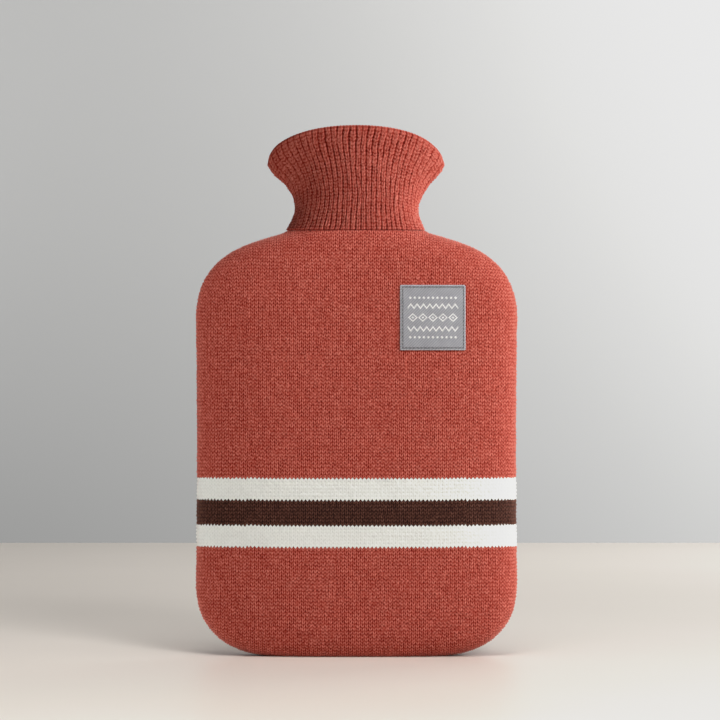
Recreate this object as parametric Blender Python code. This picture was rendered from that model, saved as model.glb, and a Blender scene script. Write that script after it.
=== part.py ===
"""A knitted cover for a two-litre hot water bottle, hollow and standing on its flat base.

The body is sewn from two shaped panels, which meet along the sides and under the base. A ribbed collar is sewn to
their tops, and a woven label to the front. Metres, +Z up, front towards -Y, origin under the middle of the base.
"""

from collections import namedtuple

import bmesh
import bpy
import numpy as np
from mathutils import Vector
from mathutils.geometry import interpolate_bezier

WALL = 0.003  # knitted cloth, with its backing
SEAM_GAP = 0.0003  # between two pieces that are sewn together
NECK_SEAM = 0.265  # height of the seam between body and collar
EAR_HEIGHT = 0.307  # where the collar is widest, at either end of its mouth
RIM_ARCH = 0.0241  # how far the middle of the mouth's edge stands above its ends
RIM_SQUARENESS = 2.15  # 2 would make the arch half an ellipse
LIP = 0.0012  # how far the rolled edge of the mouth is rounded up

RIBS = 62  # around the collar
RIB_RELIEF = 0.0005  # crest over the mean surface, and the same down to the groove

LABEL_MIDDLE = (0.0476, 0.2107)  # to the right of the middle, and height
LABEL_SIDE = 0.041
LABEL_THICKNESS = 0.001
LABEL_CELLS = 8

BANDS = (0.0672, 0.0805, 0.0962, 0.1103)  # edges of the white, brown and white bands
BODY_COLUMNS = 52  # around both panels
# The body's levels, in stretches going up: where each ends, and its number of steps.
Rise = namedtuple("Rise", "top steps")
BODY_RISES = (
    Rise(0.044, 9),  # the bottom corner
    Rise(BANDS[0], 1),
    *(Rise(edge, 1) for edge in BANDS[1:]),
    Rise(0.211, 5),
    Rise(0.262, 7),  # the shoulder
    Rise(NECK_SEAM, 3),
)
COLLAR_LEVELS = 11
COLLAR_LINING_LEVELS = 4

# One Bezier stretch of an outline: where it starts, the point that it leaves towards, the point that it arrives
# from and where it ends, each as (reach from the middle, height). Each outline runs upwards.
Stretch = namedtuple("Stretch", "start leaving arriving end")

BODY_REACH = (
    Stretch((0.0520, 0.000), (0.0690, 0.000), (0.1000, 0.008), (0.1000, 0.044)),
    Stretch((0.1000, 0.044), (0.0991, 0.100), (0.0991, 0.150), (0.1000, 0.211)),
    Stretch((0.1000, 0.211), (0.1000, 0.253), (0.0640, 0.258), (0.0465, 0.263)),
    Stretch((0.0465, 0.263), (0.0448, 0.2635), (0.0438, 0.2643), (0.0434, NECK_SEAM)),
)
BODY_DEPTH = (
    Stretch((0.0170, 0.000), (0.0225, 0.000), (0.0265, 0.006), (0.0275, 0.018)),
    Stretch((0.0275, 0.018), (0.0292, 0.050), (0.0300, 0.105), (0.0290, 0.160)),
    Stretch((0.0290, 0.160), (0.0280, 0.205), (0.0262, 0.232), (0.0218, 0.253)),
    Stretch((0.0218, 0.253), (0.0204, 0.259), (0.0188, 0.262), (0.0183, NECK_SEAM)),
)
COLLAR_REACH = (
    Stretch((0.0434, NECK_SEAM), (0.0407, 0.269), (0.0382, 0.2745), (0.0382, 0.2775)),
    Stretch((0.0382, 0.2775), (0.0382, 0.2835), (0.0405, 0.287), (0.0445, 0.293)),
    Stretch((0.0445, 0.293), (0.0488, 0.2985), (0.0548, 0.3025), (0.0548, EAR_HEIGHT)),
)
COLLAR_DEPTH = (
    Stretch((0.0183, NECK_SEAM), (0.0174, 0.268), (0.0170, 0.273), (0.0170, 0.278)),
    Stretch((0.0170, 0.278), (0.0170, 0.290), (0.0192, 0.298), (0.0205, EAR_HEIGHT)),
)

# How square a level section is (2 is an ellipse), and how far its middle strays to the right.
Station = namedtuple("Station", "height squareness stray")
STATIONS = (
    Station(0.0000, 2.60, 0.0000),
    Station(0.2150, 2.50, 0.0000),
    Station(0.2400, 2.35, 0.0006),
    Station(0.2635, 2.15, -0.0008),
    Station(0.2870, 2.00, 0.0006),
    Station(0.3000, 1.90, 0.0000),
    Station(0.3180, 1.85, -0.0009),
    Station(0.3311, 1.85, 0.0000),
)

# Colour as sRGB, then roughness. The yarn and the woven label have no metallic part.
RED_YARN = ("A84B3C", 0.85)
WHITE_YARN = ("E2E0DB", 0.85)
BROWN_YARN = ("40261E", 0.85)
GREY_WEAVE = ("A5A4A6", 0.7)

CURVE_STEPS = 60
FINE = 721  # points along half a section, before they are spaced evenly
SHARP_ANGLE = np.radians(50)  # edges that turn more than this are shaded sharp


def smooth_outline(stretches):
    """Heights and reaches along an outline, close enough together to read off in between."""
    points = []
    for stretch in stretches:
        corners = [Vector((reach, 0.0, height)) for reach, height in stretch]
        points += interpolate_bezier(*corners, CURVE_STEPS)
    return np.array([point.z for point in points]), np.array([point.x for point in points])


def read_off(stretches, height):
    heights, reaches = smooth_outline(stretches)
    return np.interp(height, heights, reaches)


def station(height):
    """Squareness and stray of the section at a height, or at each of several."""
    heights = [row.height for row in STATIONS]
    squareness = np.interp(height, heights, [row.squareness for row in STATIONS])
    return squareness, np.interp(height, heights, [row.stray for row in STATIONS])


def section(reach, depth, squareness, count):
    """(x, y) around one section, evenly spaced: left seam, front, right seam, back."""
    turn = np.linspace(0.0, np.pi, FINE)
    x = -reach * np.sign(np.cos(turn)) * np.abs(np.cos(turn)) ** (2 / squareness)
    y = -depth * np.sin(turn) ** (2 / squareness)
    travelled = np.concatenate([[0.0], np.cumsum(np.hypot(np.diff(x), np.diff(y)))])
    even = np.linspace(0.0, travelled[-1], count // 2 + 1)
    front = np.column_stack([np.interp(even, travelled, x), np.interp(even, travelled, y)])
    front[[0, -1], 1] = 0.0
    back = front[-2:0:-1] * (1, -1)
    return np.concatenate([front, back])


def normals(rings):
    """Outward unit normals of a tube of rings, each of them closed, listed from the lowest up."""
    around = np.roll(rings, -1, axis=1) - np.roll(rings, 1, axis=1)
    upwards = np.gradient(rings, axis=0)
    across = np.cross(around, upwards)
    return across / np.linalg.norm(across, axis=2, keepdims=True)


def body_heights():
    """Levels of the body: close together where the outline turns, and one on each edge of a band."""
    heights, reaches = smooth_outline(BODY_REACH)
    travelled = np.concatenate([[0.0], np.cumsum(np.hypot(np.diff(heights), np.diff(reaches)))])
    found = [0.0]
    for rise in BODY_RISES:
        ends = np.interp((found[-1], rise.top), heights, travelled)
        found += list(np.interp(np.linspace(*ends, rise.steps + 1)[1:], travelled, heights))
    return found


def body_walls():
    """The body's outer and inner rings, from the base's edge up to the neck seam."""
    outer = []
    for height in body_heights():
        squareness, stray = station(height)
        reach, depth = read_off(BODY_REACH, height), read_off(BODY_DEPTH, height)
        flat = section(reach, depth, squareness, BODY_COLUMNS) + (stray, 0.0)
        outer.append(np.column_stack([flat, np.full(len(flat), height)]))
    outer = np.array(outer)
    inward = -normals(outer)
    inward[0] = (0.0, 0.0, 1.0)
    inward[-1, :, 2] = 0.0
    inward[-1] /= np.linalg.norm(inward[-1], axis=1, keepdims=True)
    return outer, outer + WALL * inward


def grid_faces(rows, columns, first, closed=False):
    """Quads of a grid of points that starts at index first. A closed grid joins its last column to its first."""
    faces = []
    for row in range(rows - 1):
        for column in range(columns if closed else columns - 1):
            after = (column + 1) % columns
            low, high = first + row * columns, first + (row + 1) * columns
            faces.append((low + column, low + after, high + after, high + column))
    return faces


def add_object(name, points, faces, materials, material_of=None):
    """A closed mesh object with its faces turned outwards. material_of gives a face's slot from its middle."""
    mesh = bpy.data.meshes.new(name)
    shape = bmesh.new()
    corners = [shape.verts.new(point) for point in points]
    for face in faces:
        shape.faces.new([corners[index] for index in face])
    bmesh.ops.recalc_face_normals(shape, faces=shape.faces)
    for face in shape.faces:
        face.smooth = True
        face.material_index = material_of(face.calc_center_median()) if material_of else 0
    shape.to_mesh(mesh)
    shape.free()
    for material in materials:
        mesh.materials.append(material)
    mesh.set_sharp_from_angle(angle=SHARP_ANGLE)
    found = bpy.data.objects.new(name, mesh)
    bpy.context.collection.objects.link(found)
    return found


def band_at(point):
    """Material slot by height: 0 red, 1 white, 2 brown."""
    low, brown_low, brown_high, high = BANDS
    if brown_low < point.z < brown_high:
        return 2
    return 1 if low < point.z < high else 0


def add_panel(name, towards_back, materials):
    """Half of the body: its outer and inner faces, and the cut edges at the neck, the sides and the base."""
    outer, inner = body_walls()
    columns = BODY_COLUMNS // 2 + 1
    halves = []
    for rings in (outer, inner):
        half = rings[:, :columns].copy()
        half[:, [0, -1], 1] = -SEAM_GAP / 2
        halves.append(half.reshape(-1, 3))
    points = np.concatenate(halves)
    if towards_back:
        points = points * (1, -1, 1)
    rows = len(outer)
    lining = rows * columns
    faces = grid_faces(rows, columns, 0) + grid_faces(rows, columns, lining)
    neck = (rows - 1) * columns
    for column in range(columns - 1):
        edge = neck + column
        faces.append((edge, edge + 1, lining + edge + 1, lining + edge))
    for row in range(rows - 1):
        for side in (0, columns - 1):
            low, high = row * columns + side, (row + 1) * columns + side
            faces.append((low, high, lining + high, lining + low))
    base = tuple(range(columns))
    faces.append(base)
    faces.append(tuple(lining + index for index in base))
    faces.append((0, columns - 1, lining + columns - 1, lining))
    return add_object(name, points, faces, materials, band_at)


def collar_rings(shares):
    """Rings of the collar's mean surface. A share of 0 is the neck seam, and 1 the edge of the mouth."""
    start = NECK_SEAM + SEAM_GAP
    found = []
    for share in shares:
        side_height = start + share * (EAR_HEIGHT - LIP - start)
        squareness, _ = station(start + share * (STATIONS[-1].height - start))
        reach = read_off(COLLAR_REACH, side_height)
        flat = section(reach, read_off(COLLAR_DEPTH, side_height), squareness, 2 * RIBS)
        arch = (1 - np.clip(np.abs(flat[:, 0]) / reach, 0, 1) ** RIM_SQUARENESS) ** (1 / RIM_SQUARENESS)
        height = side_height + share * RIM_ARCH * arch
        _, stray = station(height)
        found.append(np.column_stack([flat[:, 0] + stray, flat[:, 1], height]))
    return np.array(found)


def add_collar(materials):
    """A closed tube wall: ribbed outside, over the rounded edge of the mouth, and smooth down the inside."""
    mean = collar_rings(np.linspace(0.0, 1.0, COLLAR_LEVELS))
    outward = normals(mean)
    outward[0, :, 2] = 0.0
    outward[0] /= np.linalg.norm(outward[0], axis=1, keepdims=True)
    relief = RIB_RELIEF * np.cos(np.pi * np.arange(2 * RIBS))[None, :, None]
    outer = mean + relief * outward
    inner = mean - WALL * outward
    lip = (outer[-1:] + inner[-1:]) / 2 + (0.0, 0.0, LIP)
    lining = np.round(np.linspace(COLLAR_LEVELS - 1, 0, COLLAR_LINING_LEVELS)).astype(int)
    rings = np.concatenate([outer, lip, inner[lining]])
    columns = 2 * RIBS
    faces = grid_faces(len(rings), columns, 0, closed=True)
    last = (len(rings) - 1) * columns
    for column in range(columns):
        after = (column + 1) % columns
        faces.append((column, after, last + after, last + column))
    return add_object("collar", rings.reshape(-1, 3), faces, materials)


def front_surface(x, height):
    """y of the front panel's outer face."""
    squareness, stray = station(height)
    reach, depth = read_off(BODY_REACH, height), read_off(BODY_DEPTH, height)
    return -depth * (1 - (np.abs(x - stray) / reach) ** squareness) ** (1 / squareness)


def add_label(materials):
    """A square sheet that follows the curve of the front."""
    steps = np.linspace(-LABEL_SIDE / 2, LABEL_SIDE / 2, LABEL_CELLS + 1)
    x, height = np.meshgrid(LABEL_MIDDLE[0] + steps, LABEL_MIDDLE[1] + steps)
    back = front_surface(x, height) - SEAM_GAP
    layers = [np.stack([x, y, height], axis=2) for y in (back - LABEL_THICKNESS, back)]
    points = np.concatenate([layer.reshape(-1, 3) for layer in layers])
    side = LABEL_CELLS + 1
    under = side * side
    faces = grid_faces(side, side, 0) + grid_faces(side, side, under)
    for step in range(LABEL_CELLS):
        left, bottom = step * side, step
        right, top = left + LABEL_CELLS, bottom + LABEL_CELLS * side
        for start, end in ((left, left + side), (right, right + side), (bottom, bottom + 1), (top, top + 1)):
            faces.append((start, end, under + end, under + start))
    return add_object("label", points, faces, materials)


def to_linear(channel):
    return channel / 12.92 if channel <= 0.04045 else ((channel + 0.055) / 1.055) ** 2.4


def cloth(name, colour, roughness):
    material = bpy.data.materials.new(name)
    material.use_nodes = True
    shader = material.node_tree.nodes["Principled BSDF"]
    channels = [to_linear(int(colour[place : place + 2], 16) / 255) for place in (0, 2, 4)]
    shader.inputs["Base Color"].default_value = (*channels, 1.0)
    shader.inputs["Roughness"].default_value = roughness
    shader.inputs["Metallic"].default_value = 0.0
    return material


def main():
    for item in list(bpy.data.objects):
        bpy.data.objects.remove(item)
    red = cloth("red yarn", *RED_YARN)
    white = cloth("white yarn", *WHITE_YARN)
    brown = cloth("brown yarn", *BROWN_YARN)
    grey = cloth("grey weave", *GREY_WEAVE)
    add_panel("front_panel", False, (red, white, brown))
    add_panel("back_panel", True, (red, white, brown))
    add_collar((red,))
    add_label((grey,))


main()
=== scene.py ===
"""The looks of a knitted hot water bottle cover: plain knit panels, a ribbed collar and a woven label.

Everything is in metres in the frame's own axes: +Z up, the front towards -Y. The cover is pulled taut over the form
that the bottle gives it, so its cloth is laid straight on that form, and no cloth simulation is run.
"""

import math
from collections import namedtuple

import bpy
import numpy as np
from mathutils import Matrix, Vector
from mathutils.geometry import interpolate_bezier


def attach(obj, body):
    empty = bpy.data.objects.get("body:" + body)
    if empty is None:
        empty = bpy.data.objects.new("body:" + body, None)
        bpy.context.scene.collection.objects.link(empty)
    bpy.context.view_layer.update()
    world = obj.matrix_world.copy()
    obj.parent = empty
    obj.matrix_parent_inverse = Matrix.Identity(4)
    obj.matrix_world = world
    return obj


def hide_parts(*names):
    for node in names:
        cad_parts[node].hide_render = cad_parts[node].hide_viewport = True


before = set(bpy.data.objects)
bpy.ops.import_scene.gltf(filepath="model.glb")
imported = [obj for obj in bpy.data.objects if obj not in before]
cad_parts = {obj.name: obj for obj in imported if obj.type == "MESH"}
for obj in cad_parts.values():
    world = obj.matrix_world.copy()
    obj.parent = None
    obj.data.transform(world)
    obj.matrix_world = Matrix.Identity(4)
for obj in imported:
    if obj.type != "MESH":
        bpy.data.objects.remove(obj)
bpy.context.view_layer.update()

MM = 0.001

# ---------------------------------------------------------------- the cover's form, as its solids have it

NECK_SEAM = 0.265  # height of the seam between body and collar
EAR_HEIGHT = 0.307  # where the collar is widest, at either end of its mouth
RIM_ARCH = 0.0231  # how far the middle of the mouth's edge stands above its ends
RIM_SQUARENESS = 2.15  # 2 would make the arch half an ellipse
RIM_LIP = 1.2 * MM  # how far the mouth's rolled edge is rounded up
TOUCH = 0.01 * MM  # between two pieces that are sewn together
WALL = 3 * MM  # of the collar
BODY_SIDE = 0.1  # from the middle to the side, at the widest
CORNER_TOP = 0.044  # the straight sides of the body start here
SHOULDER = 0.211  # and end here

Stretch = namedtuple("Stretch", "start leaving arriving end")  # of a Bezier outline: (reach, height) points

BODY_REACH = (
    Stretch((0.0520, 0.000), (0.0690, 0.000), (0.1000, 0.008), (0.1000, 0.044)),
    Stretch((0.1000, 0.044), (0.0991, 0.100), (0.0991, 0.150), (0.1000, 0.211)),
    Stretch((0.1000, 0.211), (0.0999, 0.2522), (0.0640, 0.2572), (0.0465, 0.263)),
    Stretch((0.0465, 0.263), (0.0448, 0.2635), (0.0438, 0.2643), (0.0434, NECK_SEAM)),
)
BODY_DEPTH = (
    Stretch((0.0170, 0.000), (0.0225, 0.000), (0.0265, 0.006), (0.0275, 0.018)),
    Stretch((0.0275, 0.018), (0.0292, 0.050), (0.0300, 0.105), (0.0290, 0.160)),
    Stretch((0.0290, 0.160), (0.0280, 0.205), (0.0262, 0.232), (0.0218, 0.253)),
    Stretch((0.0218, 0.253), (0.0204, 0.259), (0.0188, 0.262), (0.0183, NECK_SEAM)),
)
COLLAR_REACH = (
    Stretch((0.0434, NECK_SEAM), (0.0407, 0.269), (0.0382, 0.2745), (0.0382, 0.2775)),
    Stretch((0.0382, 0.2775), (0.0382, 0.2835), (0.0405, 0.287), (0.0445, 0.293)),
    Stretch((0.0445, 0.293), (0.0494, 0.2980), (0.0550, 0.3020), (0.0550, EAR_HEIGHT)),
)
COLLAR_DEPTH = (
    Stretch((0.0183, NECK_SEAM), (0.0174, 0.268), (0.0170, 0.273), (0.0170, 0.278)),
    Stretch((0.0170, 0.278), (0.0170, 0.290), (0.0192, 0.298), (0.0205, EAR_HEIGHT)),
)
CURVE_STEPS = 200
SECTION_STEPS = 4001

# A level section: a squareness of 2 makes it an ellipse, and it strays a little to one side.
Station = namedtuple("Station", "height squareness stray")
STATIONS = (
    Station(0.0000, 2.60, 0.0000),
    Station(0.2150, 2.50, 0.0000),
    Station(0.2400, 2.35, 0.0006),
    Station(0.2635, 2.15, -0.0008),
    Station(0.2870, 2.00, 0.0006),
    Station(0.3000, 1.90, 0.0000),
    Station(0.3180, 1.85, -0.0009),
    Station(0.3311, 1.85, 0.0000),
)

Outline = namedtuple("Outline", "heights reaches slopes")


def smooth_outline(stretches):
    points = []
    for stretch in stretches:
        corners = [Vector((reach, 0.0, height)) for reach, height in stretch]
        points += interpolate_bezier(*corners, CURVE_STEPS)[:-1]
    points.append(corners[-1])
    heights, reaches = np.array([point.z for point in points]), np.array([point.x for point in points])
    slopes = np.gradient(reaches) / np.maximum(np.gradient(heights), 1e-7)
    return Outline(heights, reaches, slopes)


BODY_WIDTH, BODY_THICKNESS = smooth_outline(BODY_REACH), smooth_outline(BODY_DEPTH)
COLLAR_WIDTH, COLLAR_THICKNESS = smooth_outline(COLLAR_REACH), smooth_outline(COLLAR_DEPTH)


def read_off(outline, height):
    return np.interp(height, outline.heights, outline.reaches)


def station(height):
    heights = [row.height for row in STATIONS]
    squareness = np.interp(height, heights, [row.squareness for row in STATIONS])
    return squareness, np.interp(height, heights, [row.stray for row in STATIONS])


def half_section(reach, depth, squareness, count):
    """x and y from the left seam over the front to the right seam, evenly spaced, and the length of that path."""
    turn = np.linspace(0.0, np.pi, SECTION_STEPS)
    x = -reach * np.sign(np.cos(turn)) * np.abs(np.cos(turn)) ** (2 / squareness)
    y = -depth * np.sin(turn) ** (2 / squareness)
    travelled = np.concatenate([[0.0], np.cumsum(np.hypot(np.diff(x), np.diff(y)))])
    even = np.linspace(0.0, travelled[-1], count)
    return np.interp(even, travelled, x), np.interp(even, travelled, y), travelled[-1]


def unit(vectors):
    return vectors / (np.linalg.norm(vectors, axis=-1, keepdims=True) + 1e-12)


DRIFT_LUMPS = 64  # each way, before the unevenness repeats


def drift(across, up, size, seed):
    """Smooth unevenness from -1 to 1 at places on the cloth, in lumps of the given size."""
    lumps = np.random.default_rng(seed).uniform(-1.0, 1.0, (DRIFT_LUMPS, DRIFT_LUMPS))
    u, v = np.asarray(across) / size, np.asarray(up) / size
    column, row = np.floor(u).astype(int), np.floor(v).astype(int)
    a, b = u - column, v - row
    a, b = a * a * (3 - 2 * a), b * b * (3 - 2 * b)
    column, row, after, above = (index % DRIFT_LUMPS for index in (column, row, column + 1, row + 1))
    low = lumps[column, row] * (1 - a) + lumps[after, row] * a
    high = lumps[column, above] * (1 - a) + lumps[after, above] * a
    return low * (1 - b) + high * b


# ---------------------------------------------------------------- meshes


def new_object(name, points, faces, corner_uvs, **attributes):
    mesh = bpy.data.meshes.new(name)
    mesh.from_pydata(np.asarray(points).tolist(), [], faces)
    mesh.update()
    layer = mesh.uv_layers.new(name="stitches")
    layer.data.foreach_set("uv", np.asarray(corner_uvs, np.float32).reshape(-1))
    for key, values in attributes.items():
        mesh.attributes.new(key, "FLOAT", "POINT").data.foreach_set("value", np.asarray(values, np.float32))
    piece = bpy.data.objects.new(name, mesh)
    bpy.context.collection.objects.link(piece)
    bpy.ops.object.select_all(action="DESELECT")
    piece.select_set(True)
    bpy.context.view_layer.objects.active = piece
    bpy.ops.object.shade_smooth()
    return piece


def thick_sheet(name, outer, inner, faces, rim, uvs, kept_share, attributes):
    """A closed sheet from its outer side and the same points on its inner side. The inner side is then made coarser,
    until the sheet keeps the given share of its faces."""
    count = len(outer)
    lining = [tuple(index + count for index in face[::-1]) for face in faces]
    edge = [(after, before, before + count, after + count) for before, after in zip(rim, rim[1:] + rim[:1])]
    every_face = faces + lining + edge
    corners = np.concatenate([np.asarray(face) for face in every_face]) % count
    both = {key: np.concatenate([values, values]) for key, values in attributes.items()}
    piece = new_object(name, np.concatenate([outer, inner]), every_face, np.asarray(uvs)[corners], **both)
    group = piece.vertex_groups.new(name="lining")
    on_rim = set(rim)
    group.add([index + count for index in range(count) if index not in on_rim], 1.0, "REPLACE")
    coarser = piece.modifiers.new("coarser lining", "DECIMATE")
    coarser.ratio = kept_share
    coarser.vertex_group = group.name
    bpy.ops.object.modifier_apply(modifier=coarser.name)
    piece.vertex_groups.clear()
    return piece


# ---------------------------------------------------------------- plain knit of the two panels

BAND_TOP, BAND_FOOT = 0.1110, 0.0683  # of all three bands together
BAND_COURSES = (6, 7, 6)  # white, brown, white
COURSE = (BAND_TOP - BAND_FOOT) / sum(BAND_COURSES)  # height of a stitch, 2.27 mm
WALES = 92  # stitches across one panel, from side seam to side seam
COLUMNS = 4 * WALES
LEAN = 0.62  # courses that each leg of a stitch climbs over half a wale
CLOTH = 2.4 * MM  # thickness of a panel, from its mean surface inwards
MID_HEIGHT = 0.137  # of the section that the wales are spaced on
# Wales spread under the neck and close up along the shoulders, more and more on the way up.
FAN_SPREAD, FAN_CLOSE, FAN_POWER = 0.10, 0.30, 2.2
HEIGHT_STEPS = 5301  # 0.05 mm apart, to find where a wale crosses the seams
PANEL_KEPT_SHARE = 0.52  # of a panel's faces, once its inside is made coarser
PATH_STEPS, PATH_EASE = 500, 2.6  # of each half of a wale's path, with points closer together towards its end

Relief = namedtuple("Relief", "between leg middle")  # in mm: between two wales, on a leg, and where the legs meet
CREST = Relief(-0.12, 0.50, 0.08)  # half way up a course
VALLEY = Relief(-0.60, 0.02, -0.52)  # between two courses
SIDE_DIP = (0.9 * MM, 1.2 * MM)  # how far the cloth turns in at a side seam, and over what width
NECK_DIP = (0.9 * MM, 0.8 * MM)  # the same at the neck seam, on the panels and on the collar, and deepest in the gaps
ROW_MARGIN = 0.2  # courses between a panel's cut edge and its last row
CUT_EDGE_RELIEF = -0.2  # in mm
CALM_EDGE = 4 * MM  # unevenness fades out over this width at the seams
STRAY_SIZE, STRAY_LENGTH = 0.20 * COURSE, 9 * MM  # stitches stray up and down
SIDEWAYS_SIZE, SIDEWAYS_LENGTH = 0.26 * MM, 4 * MM  # and sideways
SWELL_SIZE, SWELL_LENGTH = 0.08, 16 * MM  # the cloth swells, by a size in mm
STITCH_SHARE, STITCH_STRAY = 0.35, 0.16  # each point's relief varies by this share, and by this much in mm
PUCKER_SIZE, PUCKER_WIDTH, PUCKER_REACH = 0.45 * MM, 3.8 * MM, 9 * MM  # gathers below the neck seam
FOOT = 0.02 * MM  # lowest point of the cloth, just clear of the table

LABEL_X, LABEL_Z = 0.0472, 0.2104
LABEL_SIDE = 0.0404
PRESS_FADE = 1.6 * MM  # the label presses the knit flat, and this far around it
PRESS_SHARE, PRESS_DEPTH = 0.85, 0.15 * MM


def guide_x(share, height):
    """x of a wale at a height, from its share of half the width. Wales stand upright, and the seams cut them off."""
    straight = (height > CORNER_TOP) & (height < SHOULDER)
    reach = np.where(straight, read_off(BODY_WIDTH, height), BODY_SIDE)
    up = np.clip((height - SHOULDER) / (NECK_SEAM - SHOULDER), 0, 1) ** FAN_POWER
    return share * reach * (1 + up * (FAN_SPREAD - FAN_CLOSE * share**2))


def outward(x, y, z):
    """Outward direction of the front's mean surface at its points."""
    width, depth = read_off(BODY_WIDTH, z), read_off(BODY_THICKNESS, z)
    wider = np.interp(z, BODY_WIDTH.heights, BODY_WIDTH.slopes)
    deeper = np.interp(z, BODY_THICKNESS.heights, BODY_THICKNESS.slopes)
    power, _ = station(z)
    u, v = np.clip(np.abs(x) / width, 0, 1), np.clip(np.abs(y) / depth, 0, 1)
    across, along = u ** (power - 1) / width, v ** (power - 1) / depth
    rise = -(u**power * wider / width + v**power * deeper / depth)
    return unit(np.column_stack([across * np.sign(x), along * np.sign(y), rise]))


def wale_path(share):
    """One wale from under the base upwards: distances from the top of the bands, points, normals, and whether it
    reaches the neck or ends at a side seam."""
    heights = np.linspace(0.0, NECK_SEAM, HEIGHT_STEPS)
    inside = heights[np.abs(guide_x(share, heights)) <= read_off(BODY_WIDTH, heights) + 1e-9]
    low, high = inside[0], inside[-1]
    ease = np.linspace(0.0, 1.0, PATH_STEPS) ** PATH_EASE
    z = np.concatenate([low + (MID_HEIGHT - low) * ease, (high - (high - MID_HEIGHT) * ease)[-2::-1]])
    x = guide_x(share, z)
    power, _ = station(z)
    share_out = np.clip(np.abs(x) / read_off(BODY_WIDTH, z), 0, 1)
    y = -read_off(BODY_THICKNESS, z) * (1 - share_out**power) ** (1 / power)
    reaches_neck = high > NECK_SEAM - 1e-6
    if low > 0:
        y[0] = 0.0
    if not reaches_neck:
        y[-1] = 0.0
    path, normal = np.column_stack([x, y, z]), outward(x, y, z)
    if low == 0:
        normal[0] = (0.0, 0.0, -1.0)
        path, normal = np.insert(path, 0, (x[0], 0.0, 0.0), 0), np.insert(normal, 0, (0.0, 0.0, -1.0), 0)
    along = np.concatenate([[0.0], np.cumsum(np.linalg.norm(np.diff(path, axis=0), axis=1))])
    along -= along[np.argmin(np.abs(path[:, 2] - BAND_TOP))]
    return along, path, normal, reaches_neck


def stitch_relief(column, rows):
    """Relief in mm of a column's rows. Four columns make up a wale: a gap, a leg, the middle and the other leg."""
    kind = (0, 1, 2, 1)[column % 4]
    return np.where(rows % 2 != 0, CREST[kind], VALLEY[kind])


def pressed_by_label(place):
    """1 under the label and 0 away from it."""
    beyond = np.maximum(np.abs(place[:, 0] - LABEL_X), np.abs(place[:, 2] - LABEL_Z)) - LABEL_SIDE / 2
    return np.clip(0.5 - beyond / PRESS_FADE, 0, 1)


def knit_column(column, x_share, wale, seed, under_label):
    """Outer and inner points of one column, with their stitch coordinates, relief and row numbers."""
    along, path, normal, reaches_neck = wale_path(x_share)
    low, high = along[0], along[-1]
    climb = abs((column % 4) / 2 - 1)  # 1 between two wales, 0 where the legs of a stitch meet
    shift = LEAN * (climb - 0.5)
    first = math.ceil((low / COURSE - shift + ROW_MARGIN) * 2)
    last = math.floor((high / COURSE - shift - ROW_MARGIN) * 2)
    rows = np.arange(first, last + 1)
    level = (rows / 2 + shift) * COURSE
    # Within the bands the courses stay level, so that the bands' edges do.
    from_bands = np.abs(level - (BAND_FOOT - BAND_TOP) / 2) / COURSE - sum(BAND_COURSES) / 2
    wander = STRAY_SIZE * drift(np.full(len(rows), column // 4 * 1.0), level / STRAY_LENGTH, 1.0, seed + 2)
    ends = np.clip(np.minimum(level - low, high - level) / COURSE - 0.5, 0, 1)
    far = np.concatenate([[low], level + wander * np.clip(from_bands - 1, 0, 1) * ends, [high]])
    phase = np.concatenate([[low / COURSE - shift], rows / 2, [high / COURSE - shift]])
    across = np.full(len(far), (column / 4 - WALES / 2) * wale)
    to_side = np.minimum(far - low, min(column, COLUMNS - column) * wale / 4)
    to_top = high - far
    if not reaches_neck:
        to_side = np.minimum(to_side, to_top)
    free = np.clip(np.minimum(to_side, to_top) / CALM_EDGE, 0, 1)
    place = np.column_stack([np.interp(far, along, path[:, axis]) for axis in range(3)])
    out = unit(np.column_stack([np.interp(far, along, normal[:, axis]) for axis in range(3)]))
    relief = np.concatenate([[CUT_EDGE_RELIEF], stitch_relief(column, rows), [CUT_EDGE_RELIEF]])
    chance = np.random.default_rng(1000 * seed + column).uniform(-1, 1, (2, len(far)))
    relief = relief * (1 + STITCH_SHARE * chance[0]) + STITCH_STRAY * chance[1] * free
    lift = (relief + SWELL_SIZE * drift(across, far, SWELL_LENGTH, seed + 3) * free) * MM
    if reaches_neck:
        # Long gathers run down from the seam, so they are drawn out to four times their width.
        puckers = drift(across, far / 4, PUCKER_WIDTH, seed + 4) * np.exp(-to_top / PUCKER_REACH)
        lift = lift + PUCKER_SIZE * puckers * free
        dip = NECK_DIP[0] * (0.6 + 0.8 * climb) * np.exp(-((to_top / NECK_DIP[1]) ** 2))
        place = place - unit(out * (1, 1, 0)) * dip[:, None]
    if under_label:
        pressed = pressed_by_label(place)
        lift = lift * (1 - PRESS_SHARE * pressed) - PRESS_DEPTH * pressed
    lift = lift - SIDE_DIP[0] * np.exp(-((to_side / SIDE_DIP[1]) ** 2))
    sideways = SIDEWAYS_SIZE * drift(across, far, SIDEWAYS_LENGTH, seed + 5) * free
    outside = place + out * lift[:, None] + np.outer(sideways, (1.0, 0.0, 0.0))
    inside = place - out * CLOTH
    for side in (outside, inside):
        side[:, 1] = np.minimum(side[:, 1], -TOUCH)
        side[0, 1] = -TOUCH
        if not reaches_neck:
            side[-1, 1] = -TOUCH
    outside[:, 2] = np.clip(outside[:, 2], FOOT, NECK_SEAM)
    return outside, inside, np.column_stack([np.full(len(far), column / 4), phase]), relief, rows


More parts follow.
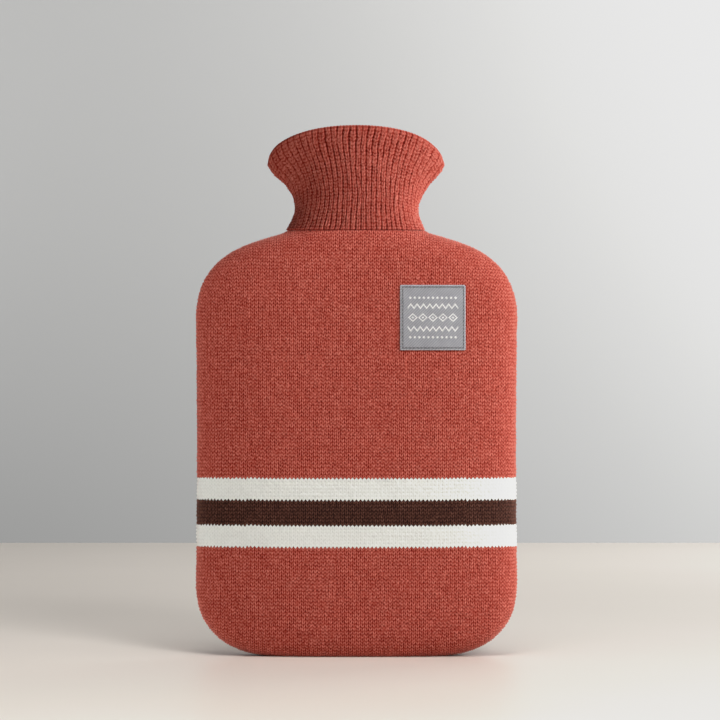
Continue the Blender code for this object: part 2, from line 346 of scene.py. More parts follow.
def zip_columns(start_a, rows_a, start_b, rows_b):
    """Faces between two columns, level where both have the same row, and in triangles where only one has it."""
    keys_a, keys_b = (np.concatenate([[-np.inf], rows, [np.inf]]) for rows in (rows_a, rows_b))
    faces, a, b = [], 0, 0
    while a < len(keys_a) - 1 or b < len(keys_b) - 1:
        more_a, more_b = a < len(keys_a) - 1, b < len(keys_b) - 1
        if more_a and more_b and keys_a[a] == keys_b[b] and keys_a[a + 1] == keys_b[b + 1]:
            faces.append((start_a + a, start_b + b, start_b + b + 1, start_a + a + 1))
            a, b = a + 1, b + 1
        elif more_a and (not more_b or (keys_a[a + 1], keys_a[a]) < (keys_b[b + 1], keys_b[b])):
            faces.append((start_a + a, start_b + b, start_a + a + 1))
            a += 1
        else:
            faces.append((start_a + a, start_b + b, start_b + b + 1))
            b += 1
    return faces


def knit_panel(seed, under_label):
    """What thick_sheet needs for one panel of plain knit, made as a front."""
    reach, depth = read_off(BODY_WIDTH, MID_HEIGHT), read_off(BODY_THICKNESS, MID_HEIGHT)
    x, _, width = half_section(reach, depth, station(MID_HEIGHT)[0], COLUMNS + 1)
    wale = width / WALES
    columns = [knit_column(index, x[index] / reach, wale, seed, under_label) for index in range(COLUMNS + 1)]
    starts = np.concatenate([[0], np.cumsum([len(column[0]) for column in columns])])
    faces = []
    for index in range(COLUMNS):
        faces += zip_columns(starts[index], columns[index][4], starts[index + 1], columns[index + 1][4])
    faces = [tuple(int(corner) for corner in face) for face in faces]
    bottom, top = starts[:-1].tolist(), (starts[1:] - 1).tolist()
    rim = bottom + list(range(bottom[-1] + 1, top[-1] + 1)) + top[-2::-1] + list(range(top[0] - 1, bottom[0], -1))
    outer, inner, uvs, relief = (np.concatenate([column[part] for column in columns]) for part in range(4))
    return outer, inner, faces, rim, uvs, PANEL_KEPT_SHARE, {"relief": relief}


def mirrored(outer, inner, faces, rim, *others):
    """The same panel as a back."""
    flip = (1, -1, 1)
    return outer * flip, inner * flip, [face[::-1] for face in faces], rim[::-1], *others


# ---------------------------------------------------------------- ribbed collar

RIBS = 62
RIB_COLUMNS = 8
COLLAR_COURSES = 29
COLLAR_LEAN = 0.45  # courses that a leg of a stitch climbs from the groove to the middle of its rib
RIB_PITCH, RIB_COURSE = 3.2 * MM, 2.2 * MM  # mean width of a rib, and height of its stitches
# Relief in mm from the middle of a rib to the groove beside it, half way up a course and between two courses.
RIB_CREST = (0.22, 0.52, 0.50, 0.32, -0.40)
RIB_VALLEY = (-0.22, 0.02, -0.04, -0.16, -0.66)
RIB_SHARE, RIB_STRAY = 0.45, 0.28  # each point's relief varies by this share, and by this much in mm
RIB_SWELL_SIZE, RIB_SWELL_LENGTH = 0.25 * MM, 14 * MM
COLLAR_LEVELS = 241  # of the mean surface, which the stitches are read off
CALM_ROWS = 3  # unevenness fades out over these rows at the neck seam and at the mouth
WANDER_SIZE, WANDER_LENGTH = 0.22, 3.5 * MM  # stitches stray up and down, by a size in courses
# Ribs swing aside, by a size in columns: far in slow waves, where a row counts as 0.3 mm, and a little in short ones.
SWING_SIZE, SWING_LENGTH, SWING_ROW = 1.6, 5 * MM, 0.30
QUIVER_SIZE, QUIVER_LENGTH = 0.5, 3 * MM
DEEPER_SIZE, DEEPER_LENGTH, DEEPER_ROW = 0.6, 4 * MM, 0.9  # grooves vary in depth, where a row counts as 0.9 mm
INSIDE_LEVELS = 22
INSIDE_RELIEF, INSIDE_SHARE = 0.35, 0.8  # in mm, and the share of it that the mesh has
LIP_TURNS = (25, 52, 80, 108, 135, 158)  # degrees over the mouth's rounded edge
LIP_NOTCH, LIP_SUNK = 0.16 * MM, 0.2 * MM  # two small bumps on each rib's end, and how far it stays under RIM_LIP
# LIP_RELIEF is in the colour only, not in the shape: a painted highlight along the top of the mouth's rolled edge.
LIP_RELIEF = 0.3  # in mm, of the edge's top
COLLAR_SEED = 70


def collar_level(share, count):
    """A ring of the collar's mean surface. A share of 0 is the neck seam, and 1 the edge of the mouth."""
    start = NECK_SEAM + TOUCH
    side_height = start + share * (EAR_HEIGHT - RIM_LIP - start)
    squareness, _ = station(start + share * (STATIONS[-1].height - start))
    reach = read_off(COLLAR_WIDTH, side_height)
    x, y, _ = half_section(reach, read_off(COLLAR_THICKNESS, side_height), squareness, count // 2 + 1)
    x, y = np.concatenate([x, x[-2:0:-1]]), np.concatenate([y, -y[-2:0:-1]])
    arch = (1 - np.clip(np.abs(x) / reach, 0, 1) ** RIM_SQUARENESS) ** (1 / RIM_SQUARENESS)
    height = side_height + share * RIM_ARCH * arch
    return np.column_stack([x + station(height)[1], y, height])


def knit_collar():
    columns = RIBS * RIB_COLUMNS
    around = np.arange(columns)
    place_in_rib = np.minimum(around % RIB_COLUMNS, RIB_COLUMNS - around % RIB_COLUMNS)
    climb = place_in_rib / (RIB_COLUMNS / 2)
    mean = np.array([collar_level(share, columns) for share in np.linspace(0.0, 1.0, COLLAR_LEVELS)])
    tangent_up = np.gradient(mean, axis=0)
    tangent_across = (np.roll(mean, -1, axis=1) - np.roll(mean, 1, axis=1)) / 2
    normal = np.cross(tangent_across, tangent_up)
    normal[0, :, 2] = 0.0
    normal = unit(normal)
    aside_share = np.abs(mean[0, :, 0]) / mean[0, :, 0].max()
    last_row = 2 * COLLAR_COURSES
    rings, reliefs, phases = [], [], []
    across = around * RIB_PITCH / RIB_COLUMNS
    for row in range(last_row + 1):
        up = row / 2 * RIB_COURSE
        ends = np.clip(min(row, last_row - row) / CALM_ROWS, 0, 1)
        phase = row / 2 + COLLAR_LEAN * (climb - 0.5) * ends
        wander = WANDER_SIZE * drift(across, up, WANDER_LENGTH, COLLAR_SEED)
        at = np.clip(phase + wander * ends, 0, COLLAR_COURSES) / COLLAR_COURSES * (COLLAR_LEVELS - 1)
        low = np.minimum(at.astype(int), COLLAR_LEVELS - 2)
        part = (at - low)[:, None]
        swing = SWING_SIZE * drift(across, row * SWING_ROW * MM, SWING_LENGTH, COLLAR_SEED + 1)
        swing += QUIVER_SIZE * drift(across, up, QUIVER_LENGTH, COLLAR_SEED + 2)
        turn = (around + swing * ends) % columns
        left = turn.astype(int) % columns
        aside = (turn - np.floor(turn))[:, None]
        right = (left + 1) % columns

        def sample(grid):
            lower = grid[low, left] * (1 - aside) + grid[low, right] * aside
            upper = grid[low + 1, left] * (1 - aside) + grid[low + 1, right] * aside
            return lower * (1 - part) + upper * part

        relief = np.array(RIB_CREST if row % 2 else RIB_VALLEY)[place_in_rib]
        # The grooves are deepest at the neck and in the middle, and shallow at either end of the mouth.
        deeper = (1.05 - 0.2 * row / last_row) * (1.1 - 0.75 * aside_share**2)
        uneven = DEEPER_SIZE * drift(across, row * DEEPER_ROW * MM, DEEPER_LENGTH, COLLAR_SEED + 3)
        deeper = deeper * (1 + uneven)
        chance = np.random.default_rng(100 * (COLLAR_SEED + 4) + row).uniform(-1, 1, (2, columns))
        relief = np.where(relief < 0, relief * deeper, relief)
        relief = relief * (1 + RIB_SHARE * chance[0]) + RIB_STRAY * chance[1] * ends
        lift = relief * MM + RIB_SWELL_SIZE * drift(across, up, RIB_SWELL_LENGTH, COLLAR_SEED + 5)
        distance = phase * RIB_COURSE
        lift = lift - NECK_DIP[0] * (0.8 + 0.4 * climb) * np.exp(-((distance / NECK_DIP[1]) ** 2))
        rings.append(sample(mean) + unit(sample(normal)) * lift[:, None])
        reliefs.append(relief)
        phases.append(phase)
    outer_edge, inner_edge = rings[-1], mean[-1] - normal[-1] * WALL
    middle, half = (outer_edge + inner_edge) / 2, (outer_edge - inner_edge) / 2
    rise = unit(unit(tangent_up[-1]) + (0.0, 0.0, 1.0))
    lip = RIM_LIP + LIP_NOTCH * np.cos(around / RIB_COLUMNS * 4 * np.pi) - LIP_SUNK
    edge_relief = reliefs[-1]
    for turn in LIP_TURNS:
        angle = math.radians(turn)
        rings.append(middle + half * math.cos(angle) + rise * (lip * math.sin(angle))[:, None])
        # Painted highlight along the top of the rolled edge, in the colour only.
        reliefs.append(edge_relief * math.cos(angle) ** 2 * (turn < 90) + LIP_RELIEF * math.sin(angle))
        phases.append(np.full(columns, COLLAR_COURSES + turn / 90))
    relief = INSIDE_RELIEF * np.cos(around / RIB_COLUMNS * 2 * np.pi)
    for share in np.linspace(1.0, 0.0, INSIDE_LEVELS):
        level = int(share * (COLLAR_LEVELS - 1))
        grown = min(1, (1 - share) * 12)  # the inside's ribs start just below the mouth's edge
        rings.append(mean[level] - normal[level] * (WALL + relief * MM * INSIDE_SHARE * grown)[:, None])
        # 0.2 mm is taken off the inside's relief in its colour only, so the yarn's painted gap shade darkens it:
        # painted shade inside the collar.
        reliefs.append(relief - 0.2)
        phases.append(np.full(columns, 2 * COLLAR_COURSES + 2 - share * COLLAR_COURSES))
    count = len(rings)
    faces, corners = [], []
    for level in range(count):
        above = (level + 1) % count
        for column in range(columns):
            after = (column + 1) % columns
            faces.append((level * columns + column, level * columns + after,
                          above * columns + after, above * columns + column))
            left, right = column / RIB_COLUMNS, (column + 1) / RIB_COLUMNS
            foot, top = phases[level], phases[above] if above else phases[level]
            corners += [(left, foot[column]), (right, foot[after]), (right, top[after]), (left, top[column])]
    return new_object("collar_knit", np.concatenate(rings), faces, corners, relief=np.concatenate(reliefs))


# ---------------------------------------------------------------- woven label

LABEL_SEED = 90
LABEL_CELLS = 160
LABEL_KEPT_SHARE = 0.53  # of its faces, once its back is made coarser
LABEL_THICKNESS = 0.9 * MM
CORNER_RADIUS = 0.8 * MM
LABEL_LIFT = 0.3 * MM  # its back above the mean surface of the knit
NOTCH_SIZE, NOTCH_PITCH, NOTCH_REACH = 0.10 * MM, 1.3 * MM, 0.3 * MM  # the cut edge is slightly ragged
RAISED_WHITE = 0.06 * MM
TUCK_SIZE, TUCK_WIDTH = 0.10 * MM, 0.9 * MM  # each stitch draws the cloth down around it
GROOVE_DEPTH, GROOVE_WIDTH = 0.32 * MM, 0.38 * MM  # along the stitches
EDGE_DROP, EDGE_WIDTH = 0.35 * MM, 0.28 * MM
LABEL_SWELL_SIZE, LABEL_SWELL_LENGTH = 0.12 * MM, 11 * MM
STITCH_INSET, STITCH_PITCH, STITCH_LENGTH = 1.35 * MM, 2.3 * MM, 1.5 * MM
STITCH_ARCH, STITCH_DIVE = 0.18 * MM, 0.45 * MM  # a stitch stands up in the middle and dives at its ends
THREAD_RADIUS, THREAD_SUNK = 0.26 * MM, 0.12 * MM


def front_y(x, z):
    """y of the front panel's mean surface."""
    power, stray = station(z)
    share = np.clip(np.abs(x - stray) / read_off(BODY_WIDTH, z), 0, 1)
    return -read_off(BODY_THICKNESS, z) * (1 - share**power) ** (1 / power)


def on_label(across, up, height):
    """A point of the label from its place on it, measured from its middle, and its height over the knit."""
    x, z = LABEL_X + across, LABEL_Z + up
    y = front_y(x, z)
    out = outward(x.ravel(), y.ravel(), z.ravel()).reshape(*x.shape, 3)
    return np.stack([x, y, z], axis=-1) + out * height[..., None]


# The label's pattern, in mm.
PATTERN_SIDE, PATTERN_BLUR = 15.6, 0.22
LOZENGE_PITCH, LOZENGE_REACH, LOZENGE_LINE, LOZENGE_CORE = 6.2, 2.5, 0.45, 0.8
ZIGZAG_PITCH, ZIGZAG_HEIGHT, ZIGZAG_AT, ZIGZAG_LINE = 3.9, 1.3, 7.0, 0.36
DOT_PITCH, DOT_AT, DOT_RADIUS = 2.8, 12.2, 0.72


def ornament(across, up):
    """1 on the white pattern that is woven into the label: a row of lozenges between zigzags and rows of dots."""
    x, z = across / MM, np.abs(up / MM)

    def solid(distance):
        return np.clip(0.5 - distance / PATTERN_BLUR, 0, 1)

    def from_motif(pitch):
        return np.abs((x / pitch + 0.5) % 1 - 0.5) * pitch

    lozenge = from_motif(LOZENGE_PITCH) + 1.1 * z
    middle = np.maximum(solid(np.abs(lozenge - LOZENGE_REACH) - LOZENGE_LINE), solid(lozenge - LOZENGE_CORE))
    rise = ZIGZAG_HEIGHT * (4 * from_motif(ZIGZAG_PITCH) / ZIGZAG_PITCH - 1)
    # The line's distance is taken upright, so it is divided by the length of the slope.
    zigzags = solid(np.abs(z - ZIGZAG_AT - rise) / 1.65 - ZIGZAG_LINE)
    dots = solid(np.hypot(from_motif(DOT_PITCH), z - DOT_AT) - DOT_RADIUS)
    return np.clip(middle + zigzags + dots, 0, 1) * solid(np.abs(x) - PATTERN_SIDE)


def woven_label():
    half = LABEL_SIDE / 2
    steps = np.linspace(-half, half, LABEL_CELLS + 1)
    across, up = np.meshgrid(steps, steps)
    straight = half - CORNER_RADIUS
    a, b = np.maximum(np.abs(across) - straight, 0), np.maximum(np.abs(up) - straight, 0)
    in_corner = (a > 0) & (b > 0)
    shrink = np.maximum(a, b) / (np.hypot(a, b) + 1e-12)
    to_edge = half - np.maximum(np.abs(across), np.abs(up))
    across = np.where(in_corner, np.sign(across) * (straight + a * shrink), across)
    up = np.where(in_corner, np.sign(up) * (straight + b * shrink), up)
    notch = NOTCH_SIZE * np.sin(2 * np.pi * (across + up) / NOTCH_PITCH) * np.exp(-to_edge / NOTCH_REACH)
    across = across + notch * np.sign(across) * (np.abs(across) > straight)
    up = up + notch * np.sign(up) * (np.abs(up) > straight)
    white = ornament(across, up)
    along = np.where(np.abs(across) > np.abs(up), up, across)
    from_stitches = to_edge - STITCH_INSET
    height = LABEL_LIFT + LABEL_THICKNESS + RAISED_WHITE * white
    height += TUCK_SIZE * np.cos(2 * np.pi * along / STITCH_PITCH) * np.exp(-((from_stitches / TUCK_WIDTH) ** 2))
    height -= GROOVE_DEPTH * np.exp(-((from_stitches / GROOVE_WIDTH) ** 2))
    height -= EDGE_DROP * np.exp(-((to_edge / EDGE_WIDTH) ** 2))
    height += LABEL_SWELL_SIZE * drift(across, up, LABEL_SWELL_LENGTH, LABEL_SEED)
    top, back = on_label(across, up, height), on_label(across, up, np.full_like(height, LABEL_LIFT))
    side = LABEL_CELLS + 1
    faces = [(row * side + c, row * side + c + 1, (row + 1) * side + c + 1, (row + 1) * side + c)
             for row in range(LABEL_CELLS) for c in range(LABEL_CELLS)]
    last = side * side - 1
    rim = list(range(side)) + list(range(2 * side - 1, last + 1, side)) + list(range(last - 1, last - side, -1))
    rim += list(range(last - 2 * side + 1, 0, -side))
    uvs = np.stack([across, up], axis=-1).reshape(-1, 2) / MM
    attributes = {"white": white.ravel(), "edge": (to_edge / MM).ravel()}
    return thick_sheet("woven_label", top.reshape(-1, 3), back.reshape(-1, 3), faces, rim, uvs, LABEL_KEPT_SHARE,
                       attributes)


def label_stitches():
    """The running stitch that holds the label: one bar of thread, copied along the sides."""
    bpy.ops.object.select_all(action="DESELECT")
    bpy.ops.curve.primitive_bezier_curve_add(enter_editmode=True)
    bpy.ops.curve.subdivide()
    bpy.ops.object.mode_set(mode="OBJECT")
    bar = bpy.context.object
    for point, side in zip(bar.data.splines[0].bezier_points, (-1, 0, 1)):
        point.handle_left_type = point.handle_right_type = "AUTO"
        point.co = (side * STITCH_LENGTH / 2, 0.0, STITCH_ARCH - STITCH_DIVE * abs(side))
        point.radius = 1.0 - 0.6 * abs(side)
    bar.data.bevel_depth, bar.data.bevel_resolution, bar.data.use_fill_caps = THREAD_RADIUS, 1, True
    bar.data.resolution_u = 3
    bpy.ops.object.convert(target="MESH")
    half = LABEL_SIDE / 2 - STITCH_INSET
    number = round(2 * half / STITCH_PITCH)
    height = np.array([LABEL_LIFT + LABEL_THICKNESS - THREAD_SUNK])
    copies = []
    for along in (np.arange(number) + 0.5) / number * 2 * half - half:
        for across, up, (right, rise) in (
            (along, -half, (MM, 0)),
            (half, along, (0, MM)),
            (-along, half, (MM, 0)),
            (-half, -along, (0, MM)),
        ):
            here, ahead = (
                Vector(on_label(np.array([a]), np.array([u]), height)[0])
                for a, u in ((across, up), (across + right, up + rise))
            )
            run = (ahead - here).normalized()
            out = Vector(outward(*(np.array([part]) for part in here))[0])
            aside = out.cross(run).normalized()
            turned = Matrix((run, aside, run.cross(aside))).transposed().to_4x4()
            stitch = bar.copy()
            stitch.data = bar.data.copy()
            stitch.matrix_world = Matrix.Translation(here) @ turned
            bpy.context.collection.objects.link(stitch)
            copies.append(stitch)
    bpy.data.objects.remove(bar)
    bpy.ops.object.select_all(action="DESELECT")
    for stitch in copies:
        stitch.select_set(True)
    bpy.context.view_layer.objects.active = copies[0]
    bpy.ops.object.join()
    bpy.ops.object.transform_apply()
    bpy.ops.object.shade_smooth()
    copies[0].name = "label_stitches"
    return copies[0]


# ---------------------------------------------------------------- materials


def linear(code):
    """Linear colour of an sRGB code."""
    channels = [int(code[place : place + 2], 16) / 255 for place in (0, 2, 4)]
    return (*(c / 12.92 if c <= 0.04045 else ((c + 0.055) / 1.055) ** 2.4 for c in channels), 1.0)


def add(tree, kind, settings=None, inputs=None):
    """Adds a node, with its settings, and its inputs as numbers or as the sockets to link from."""
    node = tree.nodes.new(kind)
    for key, value in (settings or {}).items():
        setattr(node, key, value)
    for key, value in (inputs or {}).items():
        if isinstance(value, bpy.types.NodeSocket):
            tree.links.new(value, node.inputs[key])
        else:
            node.inputs[key].default_value = value
    return node


def blank(name):
    material = bpy.data.materials.new(name)
    material.use_nodes = True
    return material, material.node_tree, material.node_tree.nodes["Principled BSDF"]


def multiplied(tree, *factors):
    """The product of several nodes' first outputs."""
    product = factors[0].outputs[0]
    for factor in factors[1:]:
        inputs = {0: product, 1: factor.outputs[0]}
        product = add(tree, "ShaderNodeMath", {"operation": "MULTIPLY"}, inputs).outputs[0]
    return product


# The collar's red is the body's red made darker: painted shade over the whole collar.
RED, RIB_RED_SHADED, WHITE, BROWN, GREY = "BC4E3D", "B74838", "F9FDF8", "482519", "9B9CA2"
# Foot and top are in courses, up from the top edge of the uppermost band. The painted shade and highlight of the
# relief, and the random tone, show less on white yarn and more on brown yarn, by each band's power.
Band = namedtuple("Band", "foot top dye contrast")
BANDS = (
    Band(-BAND_COURSES[0], 0, WHITE, 0.12),
    Band(-BAND_COURSES[0] - BAND_COURSES[1], -BAND_COURSES[0], BROWN, 2.4),
    Band(-sum(BAND_COURSES), -BAND_COURSES[0] - BAND_COURSES[1], WHITE, 0.12),
)
WAVE_PITCH = 0.314  # between the bands of a wave texture whose scale is 1
SMOOTH = {"interpolation_type": "SMOOTHSTEP"}


def yarn(name, dye, bands=()):
    """Soft acrylic and wool yarn, plied and knitted: matt, with a bloom of short fibres that catches side light,
    stitches that each take the dye and the light a little differently, painted shade in the gaps where the
    stitches meet, and painted highlights on their raised legs."""
    material, tree, shader = blank(name)
    uv = add(tree, "ShaderNodeUVMap", {"uv_map": "stitches"})
    split = add(tree, "ShaderNodeSeparateXYZ", inputs={0: uv.outputs[0]})
    wale, course = split.outputs[0], split.outputs[1]
    hue, contrast = linear(dye), 1.0
    for band in bands:
        over = add(tree, "ShaderNodeMath", {"operation": "GREATER_THAN"}, {0: course, 1: float(band.foot)})
        under = add(tree, "ShaderNodeMath", {"operation": "LESS_THAN"}, {0: course, 1: float(band.top)})
        within = multiplied(tree, over, under)
        dyed = add(tree, "ShaderNodeMix", {"data_type": "RGBA"}, {0: within, 6: hue, 7: linear(band.dye)})
        other = add(tree, "ShaderNodeMix", inputs={0: within, 2: contrast, 3: band.contrast})
        hue, contrast = dyed.outputs[2], other.outputs[0]
    # Each leg of each stitch has its own shade.
    twice = add(tree, "ShaderNodeMath", {"operation": "MULTIPLY"}, {0: wale, 1: 2.0})
    leg = add(tree, "ShaderNodeMath", {"operation": "FLOOR"}, {0: twice.outputs[0]})
    row = add(tree, "ShaderNodeMath", {"operation": "FLOOR"}, {0: course})
    cell = add(tree, "ShaderNodeCombineXYZ", inputs={0: leg.outputs[0], 1: row.outputs[0], 2: 0.5})
    chance = add(tree, "ShaderNodeTexWhiteNoise", {"noise_dimensions": "3D"}, {"Vector": cell.outputs[0]})
    place = add(tree, "ShaderNodeTexCoord")
    # Tufts of fibre 0.8 mm across: thicker than real fibres, so that they show at all.
    spot = {"Vector": place.outputs["Object"], "Detail": 2.0}
    tufts = add(tree, "ShaderNodeTexNoise", inputs=spot | {"Scale": 1 / (0.8 * MM), "Roughness": 0.6})
    # Wear and uneven dye in patches of about 14 mm.
    patches = add(tree, "ShaderNodeTexNoise", inputs=spot | {"Scale": 1 / (14 * MM), "Roughness": 0.5})
    # Relief in mm from the mesh: painted shade darkens the gaps between the stitches, and a painted highlight
    # lightens the raised legs.
    relief = add(tree, "ShaderNodeAttribute", {"attribute_name": "relief"})
    gap = add(tree, "ShaderNodeMapRange", SMOOTH, {0: relief.outputs["Fac"], 1: -0.62, 2: 0.45, 3: 0.32, 4: 1.30})
    by_leg = add(tree, "ShaderNodeMapRange", inputs={0: chance.outputs["Value"], 3: 0.94, 4: 1.06})
    by_tuft = add(tree, "ShaderNodeMapRange", inputs={0: tufts.outputs["Fac"], 1: 0.3, 2: 0.7, 3: 0.80, 4: 1.20})
    by_patch = add(tree, "ShaderNodeMapRange", inputs={0: patches.outputs["Fac"], 1: 0.3, 2: 0.7, 3: 0.97, 4: 1.03})
    value = multiplied(tree, gap, by_leg, by_tuft, by_patch)
    # Each band's power makes the painted shade and highlight, with the random tone, show more or less.
    shown = add(tree, "ShaderNodeMath", {"operation": "POWER"}, {0: value, 1: contrast})
    # Where the painted highlight and shade and the random tone make it lighter, the colour is paler and more orange,
    # and where they make it darker, it is deeper in colour.
    depth = add(tree, "ShaderNodeMapRange", inputs={0: value, 1: 0.4, 2: 1.6, 3: 1.10, 4: 0.82})
    painted_shade_hue = add(tree, "ShaderNodeMapRange", inputs={0: value, 1: 0.4, 2: 1.6, 3: 0.494, 4: 0.506})
    look = {"Hue": painted_shade_hue.outputs[0], "Saturation": depth.outputs[0], "Value": shown.outputs[0], "Color": hue}
    tinted = add(tree, "ShaderNodeHueSaturation", inputs=look)
    fluff = {"Strength": 0.6, "Distance": 0.3 * MM, "Height": tufts.outputs["Fac"]}
    bump = add(tree, "ShaderNodeBump", inputs=fluff)
    tree.links.new(tinted.outputs[0], shader.inputs["Base Color"])
    tree.links.new(bump.outputs[0], shader.inputs["Normal"])
    shader.inputs["Roughness"].default_value = 0.92
    shader.inputs["Specular IOR Level"].default_value = 0.25
    shader.inputs["Sheen Weight"].default_value = 0.36
    shader.inputs["Sheen Roughness"].default_value = 0.45
    shader.inputs["Sheen Tint"].default_value = linear("FFC4B4")
    return material


def woven_polyester():
    """Damask weave of fine polyester: a flat, faintly glossy grey with a diagonal grain, white threads brought to the
    surface for the pattern, painted shade along the line where the stitches draw it in, and lighter colour along
    its edge. Its UVs are in mm."""
    material, tree, shader = blank("woven polyester")
    uv = add(tree, "ShaderNodeUVMap", {"uv_map": "stitches"})
    white = add(tree, "ShaderNodeAttribute", {"attribute_name": "white"})
    edge = add(tree, "ShaderNodeAttribute", {"attribute_name": "edge"})
    # Diagonal ribs 1.25 mm apart, coarser than the real ones so that they show.
    slant = (0.0, 0.0, math.radians(-45))
    turned = add(tree, "ShaderNodeMapping", inputs={"Vector": uv.outputs[0], "Rotation": slant})
    twill = add(tree, "ShaderNodeTexWave", {"bands_direction": "Y"},
                {"Vector": turned.outputs[0], "Scale": WAVE_PITCH / 1.25, "Distortion": 0.6, "Detail": 1.0,
                 "Detail Scale": 2.0})
    # Threads thicken and thin over about half a millimetre.
    threads = add(tree, "ShaderNodeTexNoise", inputs={"Vector": uv.outputs[0], "Scale": 2.2, "Detail": 3.0})
    # Uneven dye and handling marks in patches of about 8 mm.
    patches = add(tree, "ShaderNodeTexNoise", inputs={"Vector": uv.outputs[0], "Scale": 1 / 8, "Detail": 2.0})
    uneven = add(tree, "ShaderNodeMapRange", inputs={0: patches.outputs["Fac"], 1: 0.3, 2: 0.7, 3: 0.92, 4: 1.08})
    grain = add(tree, "ShaderNodeMapRange", inputs={0: twill.outputs["Fac"], 3: 0.80, 4: 1.12})
    fleck = add(tree, "ShaderNodeMapRange", inputs={0: threads.outputs["Fac"], 1: 0.3, 2: 0.7, 3: 0.90, 4: 1.10})
    # Lighter within a millimetre of the cut edge.
    rim = add(tree, "ShaderNodeMapRange", SMOOTH, {0: edge.outputs["Fac"], 1: 0.5, 2: 1.0, 3: 1.28, 4: 1.0})
    # Painted shade along the line of stitches, where the cloth is drawn in.
    away = add(tree, "ShaderNodeMath", {"operation": "SUBTRACT"}, {0: edge.outputs["Fac"], 1: STITCH_INSET / MM})
    near = add(tree, "ShaderNodeMath", {"operation": "ABSOLUTE"}, {0: away.outputs[0]})
    groove = add(tree, "ShaderNodeMapRange", SMOOTH, {0: near.outputs[0], 1: 0.2, 2: 0.7, 3: 0.50, 4: 1.0})
    value = multiplied(tree, grain, fleck, rim, groove, uneven)
    mixed = {0: white.outputs["Fac"], 6: linear(GREY), 7: linear("E8E8E6")}
    colour = add(tree, "ShaderNodeMix", {"data_type": "RGBA"}, mixed)
    tinted = add(tree, "ShaderNodeHueSaturation", inputs={"Value": value, "Color": colour.outputs[2]})
    weave = {"Strength": 0.5, "Distance": 0.12 * MM, "Height": twill.outputs["Fac"]}
    bump = add(tree, "ShaderNodeBump", inputs=weave)
    tree.links.new(tinted.outputs[0], shader.inputs["Base Color"])
    tree.links.new(bump.outputs[0], shader.inputs["Normal"])
    shader.inputs["Roughness"].default_value = 0.55
    shader.inputs["Sheen Weight"].default_value = 0.15
    shader.inputs["Sheen Roughness"].default_value = 0.4
    return material


def sewing_thread():
    """Twisted polyester sewing thread: smooth and slightly glossy, with the fine slant of its twist."""
    material, tree, shader = blank("sewing thread")
    place = add(tree, "ShaderNodeTexCoord")
    # Twist marks 0.5 mm apart.
    twist = add(tree, "ShaderNodeTexWave", {"bands_direction": "DIAGONAL"},
                {"Vector": place.outputs["Object"], "Scale": WAVE_PITCH / (0.5 * MM), "Distortion": 0.5})
    mixed = {0: twist.outputs["Fac"], 6: linear("848387"), 7: linear("AEADB0")}
    shade = add(tree, "ShaderNodeMix", {"data_type": "RGBA"}, mixed)
    ridges = {"Strength": 0.4, "Distance": 0.05 * MM, "Height": twist.outputs["Fac"]}
    bump = add(tree, "ShaderNodeBump", inputs=ridges)
    tree.links.new(shade.outputs[2], shader.inputs["Base Color"])
    tree.links.new(bump.outputs[0], shader.inputs["Normal"])
    shader.inputs["Roughness"].default_value = 0.5
    return material


def painted_board(name, low, high, grain, roughness):
    """Painted board: even and pale, with the faint unevenness of a rolled coat. A satin coat softly mirrors what
    stands on it, and a matt one doesn't. The unevenness has lumps of the given size in metres."""
    material, tree, shader = blank(name)
    place = add(tree, "ShaderNodeTexCoord")
    spread = {"Vector": place.outputs["Object"], "Scale": 1 / grain, "Detail": 3.0}
    cloud = add(tree, "ShaderNodeTexNoise", inputs=spread)
    mixed = {0: cloud.outputs["Fac"], 6: linear(low), 7: linear(high)}
    shade = add(tree, "ShaderNodeMix", {"data_type": "RGBA"}, mixed)
    tree.links.new(shade.outputs[2], shader.inputs["Base Color"])
    shader.inputs["Roughness"].default_value = roughness
    shader.inputs["Specular IOR Level"].default_value = 0.2
    return material


# ---------------------------------------------------------------- the pieces

FRONT_SEED, BACK_SEED = 11, 47
body_yarn, collar_yarn = yarn("knitted yarn with bands", RED, BANDS), yarn("knitted rib yarn", RIB_RED_SHADED)
front_knit = thick_sheet("front_knit", *knit_panel(FRONT_SEED, True))
back_knit = thick_sheet("back_knit", *mirrored(*knit_panel(BACK_SEED, False)))
collar_knit = knit_collar()
label = woven_label()
stitches = label_stitches()

for piece, node, slot, material in (
    (front_knit, "front_panel", "body_knit", body_yarn),
    (back_knit, "back_panel", "body_knit", body_yarn),
    (collar_knit, "collar", "collar_knit", collar_yarn),
    (label, "label", "label_weave", woven_polyester()),
    (stitches, None, "label_weave", sewing_thread()),
):
    piece.data.materials.append(material)
    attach(piece, "root")
    if node:
        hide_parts(node)

# ---------------------------------------------------------------- table, wall, light and camera

PIXEL = 0.6244 * MM  # of the photograph, at the object
PHOTO_SIDE = 720  # pixels
SENSOR = 36  # mm
DISTANCE = 3.0  # of the camera, which looks straight back and level
CAMERA_ASIDE, CAMERA_HEIGHT = 3.5 * PIXEL, 295 * PIXEL
TABLE_SIDE, TABLE_FRONT, TABLE_EDGE = 6, -5, 1.84  # its far edge shows behind the cover
WALL_SIDE, WALL_FOOT, WALL_TOP, WALL_AWAY = 8, -2, 5, 3.4


def plane(name, corners, material):
    mesh = bpy.data.meshes.new(name)
    mesh.from_pydata(corners, [], [(0, 1, 2, 3)])
    mesh.materials.append(material)
    backdrop = bpy.data.objects.new(name, mesh)
    bpy.context.collection.objects.link(backdrop)
    return backdrop


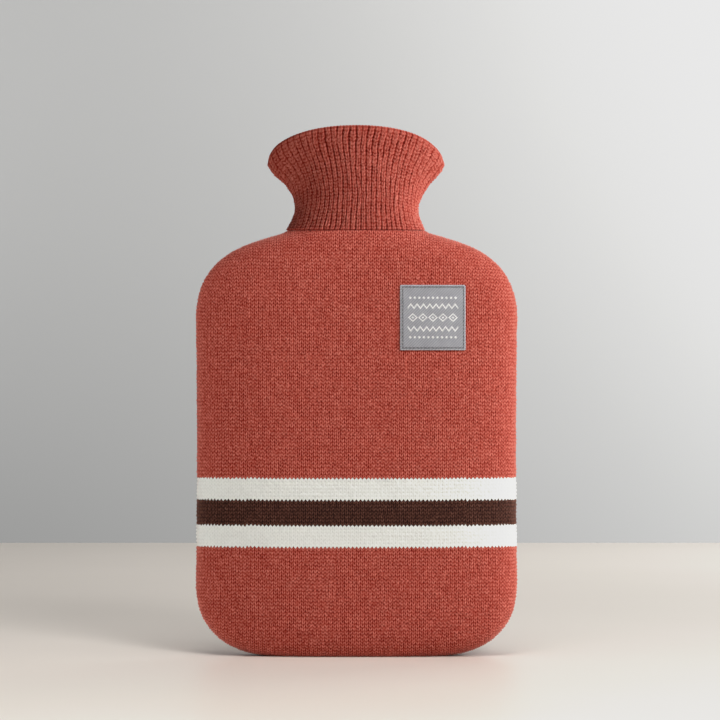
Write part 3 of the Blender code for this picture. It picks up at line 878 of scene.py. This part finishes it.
table = plane(
    "table",
    [(-TABLE_SIDE, TABLE_FRONT, 0), (TABLE_SIDE, TABLE_FRONT, 0), (TABLE_SIDE, TABLE_EDGE, 0),
     (-TABLE_SIDE, TABLE_EDGE, 0)],
    painted_board("satin table", "E1D8CD", "E6DDD3", 0.3, 0.4),
)
wall = plane(
    "wall",
    [(-WALL_SIDE, WALL_AWAY, WALL_FOOT), (WALL_SIDE, WALL_AWAY, WALL_FOOT), (WALL_SIDE, WALL_AWAY, WALL_TOP),
     (-WALL_SIDE, WALL_AWAY, WALL_TOP)],
    painted_board("matt wall", "A9A9A8", "AEAEAD", 0.8, 0.7),
)


def lamp(name, place, aim, size, power, lit):
    """A round soft lamp, linked to the pieces that it is there to light, so that it leaves the others alone."""
    light = bpy.data.lights.new(name, "AREA")
    light.shape, light.size, light.energy = "DISK", size, power
    holder = bpy.data.objects.new(name, light)
    holder.location = place
    holder.rotation_euler = (Vector(aim) - Vector(place)).to_track_quat("-Z", "Y").to_euler()
    bpy.context.collection.objects.link(holder)
    holder.light_linking.receiver_collection = bpy.data.collections.new(name)
    for piece in lit:
        holder.light_linking.receiver_collection.objects.link(piece)


# The fill is kept off the collar, whose left side is in shade in the photo.
body = (front_knit, back_knit, label, stitches)
cover = (*body, collar_knit)
lamp("top", (0.3, -0.6, 3.0), (0, 0, 0.15), 2.0, 12, cover)
lamp("right", (1.1, -0.5, 0.8), (0, 0, 0.2), 0.5, 15.6, cover)
lamp("edge", (1.3, 0.1, 0.4), (0, 0, 0.2), 0.5, 5.6, cover)
lamp("fill", (-2.2, -1.6, 1.7), (0, 0, 0.15), 1.4, 40.5, body)
lamp("back", (0.3, 2.2, 1.2), (0, 0, 0.15), 1.2, 14, cover)
# The table's main lamp stands low in front, so that the cover's shadow falls back, and long.
lamp("table, front", (0.9, -2.6, 1.2), (0, 0, 0.15), 0.9, 63, (table,))
lamp("table, top", (0.3, -0.6, 3.0), (0, 0, 0.15), 2.0, 31, (table,))
lamp("table, near", (0.0, -1.2, 1.6), (0, -0.3, 0), 1.0, 13.5, (table,))
lamp("table, back", (0.2, 1.4, 2.6), (0, 0, 0.1), 1.0, 3, (table,))
lamp("table, far right", (0.8, 1.5, 1.0), (0.8, 1.5, 0), 0.8, 8, (table,))
lamp("wall, right", (1.5, 1.6, 1.0), (1.5, 4, 1.0), 0.5, 130, (wall,))
lamp("wall, left", (-1.0, 2.7, 0.5), (-1.0, 4, 0.5), 0.4, 4.2, (wall,))

# Beyond the wall the room is a pale grey that gives no light of its own.
world = bpy.data.worlds.new("pale room")
world.use_nodes = True
world.node_tree.nodes["Background"].inputs["Color"].default_value = linear("D2D2D0")
bpy.context.scene.world = world
world.cycles_visibility.diffuse = world.cycles_visibility.glossy = False

# A photograph's highlights roll off: tones over 0.7 are held down more and more, up to the brightest.
BRIGHTEST, SHOWN_BRIGHTEST = 1.5, 0.88
ROLL_OFF = ((0.2, 0.2), (0.4, 0.4), (0.6, 0.6), (0.7, 0.7), (0.8, 0.775), (1.09, 0.83))  # scene tone, shown tone
view = bpy.context.scene.view_settings
view.view_transform = "Standard"
view.use_curve_mapping = True
view.curve_mapping.white_level = (BRIGHTEST, BRIGHTEST, BRIGHTEST)
tones = view.curve_mapping.curves[3]  # of all three colours together
for scene_tone, shown_tone in ROLL_OFF:
    tones.points.new(scene_tone / BRIGHTEST, shown_tone)
tones.points[-1].location = (1.0, SHOWN_BRIGHTEST)
view.curve_mapping.update()

camera = bpy.data.cameras.new("camera")
camera.sensor_width = SENSOR
camera.lens = SENSOR * DISTANCE / (PHOTO_SIDE * PIXEL)
viewer = bpy.data.objects.new("camera", camera)
viewer.location = (CAMERA_ASIDE, -DISTANCE, CAMERA_HEIGHT)
viewer.rotation_euler = (math.radians(90), 0, 0)
bpy.context.collection.objects.link(viewer)
bpy.context.scene.camera = viewer
